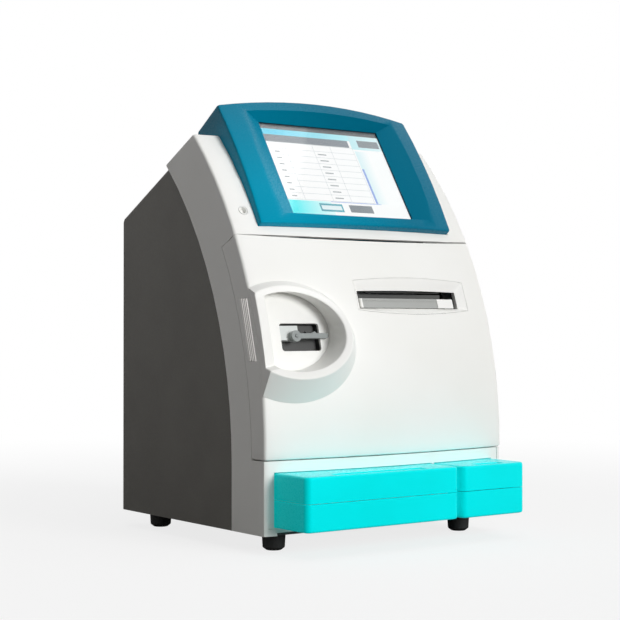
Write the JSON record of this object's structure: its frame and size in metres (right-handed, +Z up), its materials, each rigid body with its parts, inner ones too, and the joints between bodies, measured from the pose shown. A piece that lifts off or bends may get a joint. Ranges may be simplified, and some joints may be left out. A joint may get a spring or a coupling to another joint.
{
  "type": "blood gas analyzer",
  "caption": "Bench-top blood gas analyzer: curved lift-up front with sampler and printer, tilted touch screen pod, two drawers below.",
  "frame": {"origin": "on the bench, under the middle of the object's box", "axes": "+Z up, -Y towards the user (front), +X to the user's right"},
  "size_m": [0.33, 0.36, 0.4941],
  "materials": {
    "white_plastic": "satin moulded ABS",
    "dark_grey_paint": "fine-textured powder coat",
    "teal_plastic": "satin moulded ABS, teal",
    "cyan_plastic": "satin moulded plastic, cyan",
    "grey_plastic": "moulded plastic",
    "charcoal_plastic": "moulded plastic",
    "black_rubber": "moulded rubber",
    "steel": "turned stainless steel",
    "zinc_sheet": "zinc-plated folded sheet",
    "dark_sheet": "black-coated sheet steel",
    "screen_glass": "touch screen glass",
    "clear_acrylic": "clear acrylic",
    "paper": "thermal paper, stored as matte plastic",
    "circuit_board": "green circuit board laminate"
  },
  "bodies": {
    "chassis": {"front_frame": "white_plastic", "rear_cover": "dark_grey_paint", "base_plate": "dark_sheet", "front_left_foot": "black_rubber", "front_right_foot": "black_rubber", "back_left_foot": "black_rubber", "back_right_foot": "black_rubber", "bulkhead": "zinc_sheet", "drawer_fascia": "white_plastic", "drawer_bay": "white_plastic", "left_hinge_bracket": "zinc_sheet", "right_hinge_bracket": "zinc_sheet", "left_hinge_pin": "steel", "right_hinge_pin": "steel", "display_bezel": "teal_plastic", "display_back": "teal_plastic", "touch_glass": "screen_glass", "lcd_module": "charcoal_plastic", "stylus_well": "white_plastic", "sampler_plate": "white_plastic", "sampler_housing": "charcoal_plastic", "sampler_insert": "charcoal_plastic", "probe_cover": "white_plastic", "lever_pin": "steel", "electrode_block": "clear_acrylic", "electrode_1": "grey_plastic", "electrode_2": "grey_plastic", "electrode_3": "grey_plastic", "valve_block": "charcoal_plastic", "pump_body": "white_plastic", "pump_motor": "steel", "main_board": "circuit_board", "power_supply": "zinc_sheet", "fan_frame": "charcoal_plastic", "fan_grille": "dark_grey_paint", "power_inlet": "charcoal_plastic", "port_panel": "zinc_sheet"},
    "door": {"front_door": "white_plastic", "sampler_ring": "white_plastic", "left_grip": "white_plastic", "right_grip": "white_plastic", "left_hinge_arm": "zinc_sheet", "right_hinge_arm": "zinc_sheet", "printer_surround": "white_plastic", "printer_body": "grey_plastic", "tear_bar": "steel"},
    "printer_flap": {"printer_lid": "white_plastic"},
    "platen": {"platen_roller": "black_rubber"},
    "roll": {"paper_roll": "paper"},
    "lever": {"sampler_lever": "grey_plastic"},
    "needle": {"sample_needle": "steel"},
    "reagent_drawer": {"reagent_tray": "cyan_plastic", "reagent_cover": "cyan_plastic", "reagent_pack": "white_plastic"},
    "waste_drawer": {"waste_tray": "cyan_plastic", "waste_cover": "cyan_plastic", "waste_bottle": "clear_acrylic"},
    "rotor": {"pump_rotor": "grey_plastic"},
    "fan": {"fan_rotor": "charcoal_plastic"},
    "switch": {"power_switch": "black_rubber"}
  },
  "joints": [
    {"name": "door_lift", "type": "hinge", "parent": "chassis", "child": "door", "pos_m": [0, -0.04393, 0.35542], "axis": [-1, 0, 0], "range_deg": [0, 75]},
    {"name": "printer_flap_tilt", "type": "hinge", "parent": "door", "child": "printer_flap", "pos_m": [0.04, -0.11069, 0.2562], "axis": [1, 0, 0], "range_deg": [0, 35]},
    {"name": "platen_spin", "type": "hinge", "parent": "printer_flap", "child": "platen", "pos_m": [0.04, -0.09619, 0.2607], "axis": [1, 0, 0], "continuous": true},
    {"name": "roll_spin", "type": "hinge", "parent": "door", "child": "roll", "pos_m": [0.04, -0.07154, 0.236], "axis": [1, 0, 0], "continuous": true},
    {"name": "lever_turn", "type": "hinge", "parent": "chassis", "child": "lever", "pos_m": [-0.1135, -0.1014, 0.2245], "axis": [0, -0.9701, 0.2429], "range_deg": [0, 55]},
    {"name": "needle_slide", "type": "slide", "parent": "chassis", "child": "needle", "axis": [0, -0.9701, 0.2429], "range_m": [0, 0.0142]},
    {"name": "reagent_drawer_slide", "type": "slide", "parent": "chassis", "child": "reagent_drawer", "axis": [0, -1, 0], "range_m": [0, 0.14]},
    {"name": "waste_drawer_slide", "type": "slide", "parent": "chassis", "child": "waste_drawer", "axis": [0, -1, 0], "range_m": [0, 0.14]},
    {"name": "pump_spin", "type": "hinge", "parent": "chassis", "child": "rotor", "pos_m": [0.105, -0.033, 0.15], "axis": [0, 1, 0], "continuous": true},
    {"name": "fan_spin", "type": "hinge", "parent": "chassis", "child": "fan", "pos_m": [0.085, 0.163, 0.235], "axis": [0, 1, 0], "continuous": true},
    {"name": "switch_rock", "type": "hinge", "parent": "chassis", "child": "switch", "pos_m": [-0.075, 0.1765, 0.046], "axis": [-1, 0, 0], "range_deg": [0, 14]}
  ],
  "couplings": [
    {"joint": "needle_slide", "follows": "lever_turn", "m_per_rad": 0.014584}
  ]
}
